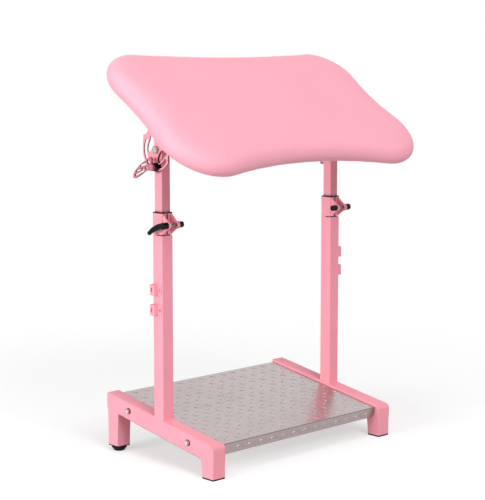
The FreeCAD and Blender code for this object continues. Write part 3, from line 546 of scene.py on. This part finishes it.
def sky():
    """Even studio light; the camera, metal and glass see it as white."""
    world = bpy.data.worlds.new("studio")
    scene.world = world
    world.use_nodes = True
    tree = world.node_tree
    light = tree.nodes["Background"]
    put(tree, light.inputs["Color"], sky_tint)
    put(tree, light.inputs["Strength"], sky_strength)
    backdrop = added(tree, "ShaderNodeBackground", {"Color": white}).outputs[0]
    mix = added(tree, "ShaderNodeMixShader", {0: seen(tree), 1: light.outputs[0], 2: backdrop})
    put(tree, tree.nodes["World Output"].inputs["Surface"], mix.outputs[0])


def linked(name, data):
    """New object in the scene."""
    made = bpy.data.objects.new(name, data)
    scene.collection.objects.link(made)
    return made


def camera():
    """The photograph's camera."""
    side = math.cos(camera_elevation)
    back = Vector((math.sin(camera_azimuth) * side, -math.cos(camera_azimuth) * side,
                   math.sin(camera_elevation)))
    data = bpy.data.cameras.new("camera")
    data.sensor_width = sensor_width
    data.lens = sensor_width * focal_pixels / picture_height
    made = linked("camera", data)
    made.location = camera_target + back * camera_distance
    made.rotation_mode = "QUATERNION"
    made.rotation_quaternion = (-back).to_track_quat("-Z", "Y")
    scene.camera = made


def soft_box(name, way, distance, size, power):
    """Square area lamp that looks back at the stand."""
    data = bpy.data.lights.new(name, "AREA")
    data.shape = "SQUARE"
    data.size = size
    data.energy = power
    made = linked(name, data)
    made.location = camera_target + way.normalized() * distance
    made.rotation_mode = "QUATERNION"
    made.rotation_quaternion = way.to_track_quat("Z", "Y")


def mesh_of(name, verts, faces):
    """New mesh of vertices and faces."""
    mesh = bpy.data.meshes.new(name)
    mesh.from_pydata([tuple(vert) for vert in verts], [], faces)
    return mesh


def painted(mesh, material):
    """Gives the whole mesh one material."""
    mesh.materials.clear()
    mesh.materials.append(material)


def smoothed(mesh):
    """Shades the whole mesh smooth."""
    mesh.polygons.foreach_set("use_smooth", [True] * len(mesh.polygons))


def settled(obj):
    """Applies the object's modifiers to its mesh."""
    graph = bpy.context.evaluated_depsgraph_get()
    mesh = bpy.data.meshes.new_from_object(obj.evaluated_get(graph))
    obj.modifiers.clear()
    obj.data = mesh


def remeshed(obj, voxel, rounds):
    """Gives the object an even skin of small faces, smoothed."""
    remesh = obj.modifiers.new("remesh", "REMESH")
    remesh.mode = "VOXEL"
    remesh.voxel_size = voxel
    smooth = obj.modifiers.new("smooth", "SMOOTH")
    smooth.iterations = rounds
    settled(obj)


def subdivided(obj):
    """Gives the object four faces for each one."""
    finer = obj.modifiers.new("finer", "SUBSURF")
    finer.levels = 1
    finer.render_levels = 1
    settled(obj)


def mesh_object(name, verts, faces, material, slot, body, smooth=True):
    """New piece of the scene, riding on a body."""
    mesh = mesh_of(name, verts, faces)
    painted(mesh, material)
    mesh.polygons.foreach_set("use_smooth", [smooth] * len(faces))
    mesh.validate()
    made = linked(name, mesh)
    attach(made, body)
    return made


def floor():
    """Plain floor under the stand."""
    half = floor_size / 2
    corners = [(-half, -half, 0), (half, -half, 0), (half, half, 0), (-half, half, 0)]
    mesh = mesh_of("floor", corners, [(0, 1, 2, 3)])
    painted(mesh, floor_paint())
    linked("floor", mesh)


def hollow_radius(lobe, radius, depth):
    """Radius of the hollow between a lobe and its mirror image."""
    return (lobe.x ** 2 / depth + depth) / 2 - radius


def mirrored(spot):
    return Vector((-spot.x, spot.y))


def pad_circles():
    """Centres and radii of the pad's four lobes and of the four hollows between them, in turn."""
    front = Vector((pad_half_length_front - pad_front_lobe, pad_front_lobe - pad_half_depth))
    rear = Vector((pad_half_length_rear - pad_rear_lobe, pad_half_depth - pad_rear_lobe))
    front_radius = hollow_radius(front, pad_front_lobe, pad_front_hollow)
    rear_radius = hollow_radius(rear, pad_rear_lobe, pad_rear_hollow)
    front_hollow = Vector((0, pad_front_hollow - pad_half_depth - front_radius))
    rear_hollow = Vector((0, pad_half_depth - pad_rear_hollow + rear_radius))
    reach_front = pad_side_radius + pad_front_lobe
    reach_rear = pad_side_radius + pad_rear_lobe
    span = rear - front
    along = (span.length ** 2 + reach_front ** 2 - reach_rear ** 2) / (2 * span.length)
    across = math.sqrt(reach_front ** 2 - along ** 2)
    step = span.normalized()
    side = front + step * along + Vector((step.y, -step.x)) * across
    return [(front, pad_front_lobe), (side, pad_side_radius), (rear, pad_rear_lobe),
            (rear_hollow, rear_radius), (mirrored(rear), pad_rear_lobe), (mirrored(side), pad_side_radius),
            (mirrored(front), pad_front_lobe), (front_hollow, front_radius)]


def pad_outline(inset, step=pad_outline_step):
    """Points round the pad's outline, drawn in by inset: arcs round the lobes and through the hollows."""
    circles = pad_circles()
    count = len(circles)
    points = []
    for index, (centre, radius) in enumerate(circles):
        before = circles[index - 1][0] - centre
        after = circles[(index + 1) % count][0] - centre
        start = math.atan2(before.y, before.x)
        end = math.atan2(after.y, after.x)
        if index % 2 == 0:
            sweep = (end - start) % (2 * math.pi)
            reach = radius - inset
        else:
            sweep = -((start - end) % (2 * math.pi))
            reach = radius + inset
        parts = round(abs(sweep) * radius / step)
        for part in range(parts):
            angle = start + sweep * part / parts
            points.append(centre + Vector((math.cos(angle), math.sin(angle))) * reach)
    return points


def bands(first, count, rings):
    """Faces between rings of count points each, from vertex first on."""
    faces = []
    for ring in range(rings - 1):
        for step in range(count):
            a = first + ring * count + step
            b = first + ring * count + (step + 1) % count
            faces.append((a, b, b + count, a + count))
    return faces


def lofted(rings):
    """Vertices and faces of a closed skin through rings of equal count, capped at both ends."""
    count = len(rings[0])
    verts = [vert for ring in rings for vert in ring]
    faces = bands(0, count, len(rings))
    faces.append(tuple(reversed(range(count))))
    faces.append(tuple(range((len(rings) - 1) * count, len(rings) * count)))
    return verts, faces


def pad_rise(inset):
    """Level of the pad's upper side at an inset from its outline: a round edge under a broad crown."""
    edge = 1 - min(inset / pad_roundness, 1)
    share = math.sin(math.pi / 2 * min(inset / pad_crown_inset, 1))
    return pad_half_thickness * math.sqrt(1 - edge ** 2) + pad_crown * share


def pad_profile():
    """Inset and level of each ring of the pad, from under it round the edge to near the crown."""
    rings = [(pad_board_inset + pad_under_inset, -pad_half_thickness)]
    for step in range(pad_edge_steps):
        angle = math.pi / 2 * step / pad_edge_steps
        rings.append((pad_roundness * (1 - math.sin(angle)), -pad_half_thickness * math.cos(angle)))
    for step in range(pad_edge_steps + 1):
        inset = pad_roundness * (1 - math.cos(math.pi / 2 * step / pad_edge_steps))
        rings.append((inset, pad_rise(inset)))
    rings.append((pad_flat_inset, pad_rise(pad_flat_inset)))
    return rings


def pad_ring(inset, level):
    """Closed ring of points at an inset from the pad's outline and a level above its mid plane."""
    return [from_pad((*spot, pad_lift + level)) for spot in pad_outline(inset)]


def crown(obj):
    """Lifts the flat middle of the pad to its crown, by the distance from the outline."""
    ring = pad_outline(pad_start_inset, pad_reach_step)
    tree = kdtree.KDTree(len(ring))
    for index, spot in enumerate(ring):
        tree.insert((*spot, 0), index)
    tree.balance()
    for vertex in obj.data.vertices:
        spot = to_pad(vertex.co)
        inset = tree.find((spot.x, spot.y, 0))[2]
        if spot.z > pad_lift and inset > pad_roundness:
            spot.z = pad_lift + pad_rise(inset)
            vertex.co = from_pad(spot)


def evened(mesh, moves):
    """The moves averaged with their neighbours', as foam under a tight cover evens its folds out."""
    ends = np.empty(2 * len(mesh.edges), dtype=int)
    mesh.edges.foreach_get("vertices", ends)
    first, second = ends[0::2], ends[1::2]
    count = 1 + np.bincount(ends, minlength=len(mesh.vertices))
    moves = np.array(moves)
    for _ in range(cover_evening_rounds):
        for axis in range(3):
            along = moves[:, axis].copy()
            total = along + np.bincount(first, along[second], len(along))
            total += np.bincount(second, along[first], len(along))
            moves[:, axis] = total / count
    return [Vector(move) for move in moves]


def hold(obj):
    """Holds the cover where it is stapled under the board, and less so above."""
    held = obj.vertex_groups.new(name=cover_group)
    underside = pad_lift - pad_half_thickness
    for vertex in obj.data.vertices:
        above = to_pad(vertex.co).z - underside
        weight = min(1 - (above - cover_held_level) / cover_held_fade, 1.0)
        if weight > 0:
            held.add([vertex.index], weight, "REPLACE")


def blown(obj):
    """Moves of the cover's points as it is blown up as cloth."""
    cloth = obj.modifiers.new("cloth", "CLOTH")
    for setting, value in cover_cloth.items():
        setattr(cloth.settings, setting, value)
    cloth.settings.effector_weights.gravity = 0
    cloth.collision_settings.use_collision = False
    cloth.point_cache.frame_start = 1
    cloth.point_cache.frame_end = cover_frames
    for step in range(1, cover_frames + 1):
        scene.frame_set(step)
    graph = bpy.context.evaluated_depsgraph_get()
    full = obj.evaluated_get(graph).data
    moves = [after.co - before.co for after, before in zip(full.vertices, obj.data.vertices)]
    obj.modifiers.clear()
    scene.frame_set(1)
    return moves


def swell(obj):
    """Blows the cover up as cloth over its foam."""
    hold(obj)
    moves = evened(obj.data, blown(obj))
    for vertex, move in zip(obj.data.vertices, moves):
        if move.length > cover_cap:
            move = move * (cover_cap / move.length)
        vertex.co += move
    obj.vertex_groups.clear()


def pocket_cutter():
    """Block of the board's shape, a little larger, that cuts its pocket from under the pad."""
    inset = pad_board_inset - pocket_gap
    levels = (-pocket_overrun - pad_half_thickness, pocket_depth - pad_half_thickness)
    return linked("pocket", mesh_of("pocket", *lofted([pad_ring(inset, level) for level in levels])))


def cut_pocket(obj):
    """Cuts the board's pocket from the pad."""
    cutter = pocket_cutter()
    cut = obj.modifiers.new("pocket", "BOOLEAN")
    cut.operation = "DIFFERENCE"
    cut.solver = "MANIFOLD"
    cut.object = cutter
    settled(obj)
    bpy.data.objects.remove(cutter)


def pad(material):
    """The padded cushion, in place of the CAD's."""
    rings = [pad_ring(pad_start_inset + inset, level) for inset, level in pad_profile()]
    skin = mesh_object("pad", *lofted(rings), material, "vinyl_cover", "pad")
    remeshed(skin, pad_voxel, pad_smooth_rounds)
    crown(skin)
    swell(skin)
    subdivided(skin)
    cut_pocket(skin)
    smoothed(skin.data)
    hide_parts("pad_cushion")


def hem_ring(inset, level, folded):
    """Ring of the hem, with gathers that grow inward and pleats where it is folded."""
    inner = max(inset / hem_width, 0.0)
    outer_ring = pad_outline(pad_board_inset + inset)
    inner_ring = pad_outline(pad_board_inset + inset + hem_waver)
    ring = []
    for index, (first, second) in enumerate(zip(outer_ring, inner_ring)):
        phase = index / len(outer_ring) * 2 * math.pi
        gather = noise.noise(Vector((math.cos(phase) * hem_gather_reach, math.sin(phase) * hem_gather_reach,
                                     hem_gather_start)))
        pleat = 0.5 + 0.5 * math.sin(phase * hem_pleats + hem_gather_drift * gather)
        fold = hem_fold * pleat * inner if folded else 0.0
        spot = first.lerp(second, gather * inner)
        ring.append(from_pad((*spot, pad_lift - pad_half_thickness + level - fold)))
    return ring


def hem(material):
    """The cover's raw edge, folded under the board with gathers round the lobes."""
    last = len(hem_profile) - 1
    rings = [hem_ring(inset, level, 0 < row < last) for row, (inset, level) in enumerate(hem_profile)]
    count = len(rings[0])
    verts = [vert for ring in rings for vert in ring]
    faces = []
    for row in range(len(rings)):
        low = row * count
        high = (row + 1) % len(rings) * count
        for index in range(count):
            after = (index + 1) % count
            faces.append((low + index, high + index, high + after, low + after))
    mesh_object("cover_hem", verts, faces, material, "vinyl_cover", "pad")


def bar(start, end, wire, turn_from):
    """Vertices of a thin square bar between two points."""
    along = (end - start).normalized()
    side = along.cross(turn_from).normalized() * wire / 2
    over = along.cross(side).normalized() * wire / 2
    corners = ((side, over), (-side, over), (-side, -over), (side, -over))
    return [point + first + second for point in (start, end) for first, second in corners]


bar_faces = [(0, 1, 2, 3), (7, 6, 5, 4), (0, 4, 5, 1), (1, 5, 6, 2), (2, 6, 7, 3), (3, 7, 4, 0)]


def staples(material):
    """Staples along the middle of the hem."""
    spots = pad_outline(pad_board_inset + hem_width * staple_row_share, staple_pitch)
    level = pad_lift - pad_half_thickness - hem_thickness - hem_fold
    verts, faces = [], []
    for index, spot in enumerate(spots):
        along = (spots[(index + 1) % len(spots)] - spots[index - 1]).normalized() * staple_length / 2
        start = from_pad((*(spot - along), level))
        end = from_pad((*(spot + along), level))
        first = len(verts)
        verts += bar(start, end, staple_wire, pad_turn @ Vector((0, 0, 1)))
        faces += [tuple(first + corner for corner in face) for face in bar_faces]
    mesh_object("staples", verts, faces, material, "zinc_steel", "pad", smooth=False)


def moulded(node, body, material, voxel, rounds):
    """A CAD piece with its edges softened as a moulding's are."""
    mesh = nodes[node].data.copy()
    painted(mesh, material)
    made = linked(node + "_moulded", mesh)
    shape = bmesh.new()
    shape.from_mesh(mesh)
    bmesh.ops.remove_doubles(shape, verts=shape.verts, dist=merge_distance)
    shape.to_mesh(mesh)
    shape.free()
    remeshed(made, voxel, rounds)
    smoothed(made.data)
    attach(made, body)
    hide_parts(node)


def lug(centre, along, across, up, verts, faces):
    """One raised lug: a low, pointed oval dome."""
    first = len(verts)
    for ring in range(lug_rings):
        turn = ring / (lug_rings - 1) * math.pi / 2
        size = math.cos(turn * lug_top_share)
        rise = lug_height * math.sin(turn) - lug_sunk
        for step in range(lug_sides):
            angle = 2 * math.pi * step / lug_sides
            pointed = 1 - lug_point_share * abs(math.sin(angle)) ** 3 * abs(math.cos(angle))
            spot = along * math.cos(angle) * lug_length / 2 * size
            spot = spot + across * math.sin(angle) * lug_width / 2 * size * pointed
            verts.append(centre + spot + up * rise)
    faces += bands(first, lug_sides, lug_rings)
    faces.append(tuple(first + (lug_rings - 1) * lug_sides + step for step in range(lug_sides)))
    faces.append(tuple(first + step for step in reversed(range(lug_sides))))


def crossed(first, second, kind):
    """Ways along and across a lug that leans one way or the other between two axes."""
    return (first + kind * second).normalized(), (second - kind * first).normalized()


def plate_span(axis):
    """Least and greatest reach of the footplate along an axis."""
    reaches = [vert.co.dot(axis) for vert in nodes["footplate"].data.vertices]
    return min(reaches), max(reaches)


def top_places(low, high, side):
    """Places of the lugs on the footplate's top, and the way each leans."""
    reach = int(side / lug_pitch) + lug_spare_rows
    for kind, start_x, start_y in lug_rows:
        for column in range(-reach, reach):
            for row in range(-reach, reach):
                x = start_x + column * lug_pitch
                y = (start_y + row * lug_pitch + lug_shift) / math.cos(slope)
                if abs(x) <= side - lug_margin and low + lug_margin < y < high - lug_margin:
                    yield x, y, kind


def flange_places(side):
    """Places of the lugs along a flange, and the way each leans."""
    reach = 2 * (int(side / lug_pitch) + lug_spare_rows)
    for column in range(-reach, reach):
        x = (column + 0.5) * lug_pitch / 2
        if abs(x) <= side - lug_margin - lug_length / 2:
            yield x, 1 if column % 2 == 0 else -1


def tread_lugs(material):
    """Crossed lugs on the footplate's top and on its front and rear flanges."""
    right = Vector((1, 0, 0))
    rearward = Vector((0, math.cos(slope), math.sin(slope)))
    up = right.cross(rearward)
    bottom, top = plate_span(up)
    low, high = plate_span(rearward)
    side = plate_span(right)[1]
    verts, faces = [], []
    for x, y, kind in top_places(low, high, side):
        lug(right * x + rearward * y + up * top, *crossed(right, rearward, kind), up, verts, faces)
    middle = (top + bottom) / 2 - lug_flange_drop
    for place, out in ((low, -rearward), (high, rearward)):
        for x, kind in flange_places(side):
            lug(right * x + up * middle + rearward * place, *crossed(right, up, kind), out, verts, faces)
    mesh_object("tread_lugs", verts, faces, material, "tread_sheet", "base")


def bead_spots(loop):
    """Points in small steps along a closed path."""
    spots = []
    for start, end in zip(loop, loop[1:] + loop[:1]):
        steps = max(2, round((end - start).length / weld_step))
        spots += [start.lerp(end, step / steps) for step in range(steps)]
    return spots


def bead_curve(name, loops):
    """Tubes along closed paths, rippled as weld beads are laid."""
    curve = bpy.data.curves.new(name, "CURVE")
    curve.dimensions = "3D"
    curve.bevel_depth = weld_radius
    curve.bevel_resolution = weld_resolution
    for loop in loops:
        spots = bead_spots(loop)
        spline = curve.splines.new("POLY")
        spline.points.add(len(spots) - 1)
        spline.use_cyclic_u = True
        for index, (point, spot) in enumerate(zip(spline.points, spots)):
            point.co = (*spot, 1)
            point.radius = 1 + weld_ripple * (-1) ** index + weld_waver * noise.noise(spot * weld_waver_scale)
    return curve


def rail_top(y):
    """Height of the rails' top face at depth y."""
    return rail_rear_height - rail_fall * (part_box("rail_left")[1].y - y) / rail_depth


def foot_loop(side):
    """Path round the foot of a column, on its rail."""
    low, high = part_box("column_" + side)
    left, right = low.x + weld_corner, high.x - weld_corner
    front, rear = low.y + weld_corner, high.y - weld_corner
    corners = ((left, front), (right, front), (right, rear), (left, rear))
    return [Vector((x, y, rail_top(y) + weld_sunk)) for x, y in corners]


def weld_beads(material):
    """Beads round the columns' feet."""
    curve = bead_curve("weld_beads", [foot_loop("left"), foot_loop("right")])
    path = linked("weld_path", curve)
    graph = bpy.context.evaluated_depsgraph_get()
    mesh = bpy.data.meshes.new_from_object(path.evaluated_get(graph))
    bpy.data.objects.remove(path)
    painted(mesh, material)
    made = linked("weld_beads", mesh)
    subdivided(made)
    smoothed(made.data)
    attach(made, "base")


def side_outline(side):
    """Side view of a welded side frame, as (y, z) points, and which of its edges stay sharp."""
    low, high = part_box("rail_" + side)
    front, rear = low.y, high.y
    front_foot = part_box("front_leg_" + side)[0].z
    rear_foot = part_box("rear_leg_" + side)[0].z
    drop = rail_size / math.cos(slope)
    inner_front, inner_rear = front + rail_size, rear - rail_size
    points = [(front, front_foot), (inner_front, front_foot), (inner_front, rail_top(inner_front) - drop),
              (inner_rear, rail_top(inner_rear) - drop), (inner_rear, rear_foot), (rear, rear_foot),
              (rear, rail_top(rear) - drop), (rear, rail_top(rear))]
    sharp = {0, 4, 6}
    reach = rail_front_radius * math.tan((math.pi / 2 - slope) / 2)
    start = Vector((front + reach * math.cos(slope), rail_top(front) + reach * math.sin(slope)))
    centre = start + Vector((math.sin(slope), -math.cos(slope))) * rail_front_radius
    for step in range(rail_front_steps + 1):
        angle = math.pi / 2 + slope + (math.pi / 2 - slope) * step / rail_front_steps
        points.append(tuple(centre + Vector((math.cos(angle), math.sin(angle))) * rail_front_radius))
    return points, sharp


def side_shape(side):
    """Solid of a side frame, with its long edges rounded."""
    points, sharp = side_outline(side)
    low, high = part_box("rail_" + side)
    count = len(points)
    shape = bmesh.new()
    left = [shape.verts.new((low.x, y, z)) for y, z in points]
    right = [shape.verts.new((high.x, y, z)) for y, z in points]
    shape.faces.new(left[::-1])
    shape.faces.new(right)
    for index in range(count):
        after = (index + 1) % count
        shape.faces.new((left[index], left[after], right[after], right[index]))
    rounded = [shape.edges.get((row[index], row[(index + 1) % count]))
               for row in (left, right) for index in range(count) if index not in sharp]
    bmesh.ops.bevel(shape, geom=rounded, offset=rail_edge_radius, segments=rail_edge_steps, profile=0.5,
                    affect="EDGES", clamp_overlap=True)
    bmesh.ops.recalc_face_normals(shape, faces=shape.faces)
    for edge in shape.edges:
        edge.smooth = edge.calc_face_angle() < sharp_angle
    return shape


def side_frame(side, material):
    """Rail and legs of one side as the welded, ground and coated piece that they are."""
    shape = side_shape(side)
    mesh = bpy.data.meshes.new("side_frame_" + side)
    shape.to_mesh(mesh)
    shape.free()
    painted(mesh, material)
    smoothed(mesh)
    made = linked("side_frame_" + side, mesh)
    weighted = made.modifiers.new("weighted", "WEIGHTED_NORMAL")
    weighted.weight = rail_normal_weight
    weighted.keep_sharp = True
    settled(made)
    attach(made, "base")
    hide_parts("rail_" + side, "front_leg_" + side, "rear_leg_" + side)


camera()
sky()
for name, values in soft_boxes.items():
    soft_box(name, *values)
floor()

pink = powder_coat("pink_coat_satin")
# Tilt brackets: painted shade on the cut edges
pink_cut = powder_coat("pink_coat_cut", cut_edge_shade=0.85)
# Wing handles: the coat deepened as painted shade, and painted shade on the cut edges
pink_cast_shaded = powder_coat("pink_coat_cast_shaded", cut_edge_shade=0.55, depth=0.75)
# Columns and slide tubes: painted shade in the slits and crevices
pink_slit = powder_coat("pink_coat_slit", crevice=0.007)
pink_slide = powder_coat("pink_coat_slide", crevice=0.01, open_share=0.9)
cover = vinyl()
metal = tread_metal("tread_metal", shaded_folds)
lug_metal = tread_metal("tread_metal_worn_and_shaded", worn_and_shaded_lugs)
black = black_plastic("black_plastic_moulded")
rubber = black_plastic("black_glide", rough_low=0.45, rough_high=0.6)
plated = zinc("zinc", share=1.0)
# Darker copies of the zinc, for the pivot bolts and the washers
darker_zinc = zinc("zinc_darker", share=0.78)
# Clamp studs: zinc darkened as painted shade, as they sit in shade
shaded_zinc = zinc("zinc_shaded", share=0.3)
darkest_zinc = zinc("zinc_darkest", share=0.06)
wood = plywood()

# Material of each slot, and of the nodes that have one of their own
finishes = {
    "pink_coat": pink,
    "black_plastic": black,
    "zinc_steel": plated,
    "tread_sheet": metal,
    "plywood": wood,
    "vinyl_cover": cover,
}
special = {"plate_washers": darkest_zinc, "pivot_washers": darkest_zinc}
for side in ("left", "right"):
    special |= {
        "tilt_bracket_" + side: pink_cut,
        "column_" + side: pink_slit,
        "slide_tube_" + side: pink_slide,
        "levelling_foot_" + side: rubber,
        "front_cap_" + side: rubber,
        "clamp_stud_" + side: shaded_zinc,
        "pivot_bolt_" + side: darker_zinc,
    }
for part in frame["record"]["subparts"]:
    chosen = special.get(part["node"], finishes[part["material_slot"]])
    for place in nodes[part["node"]].material_slots:
        place.material = chosen

pad(cover)
hem(cover)
staples(plated)
tread_lugs(lug_metal)
weld_beads(pink)
for side in ("left", "right"):
    side_frame(side, pink)
    moulded("wing_handle_" + side, "handle_" + side, pink_cast_shaded, wing_voxel, wing_smooth_rounds)
    moulded("clamp_lever_" + side, "lever_" + side, black, lever_voxel, lever_smooth_rounds)

scene.view_settings.view_transform = "Standard"
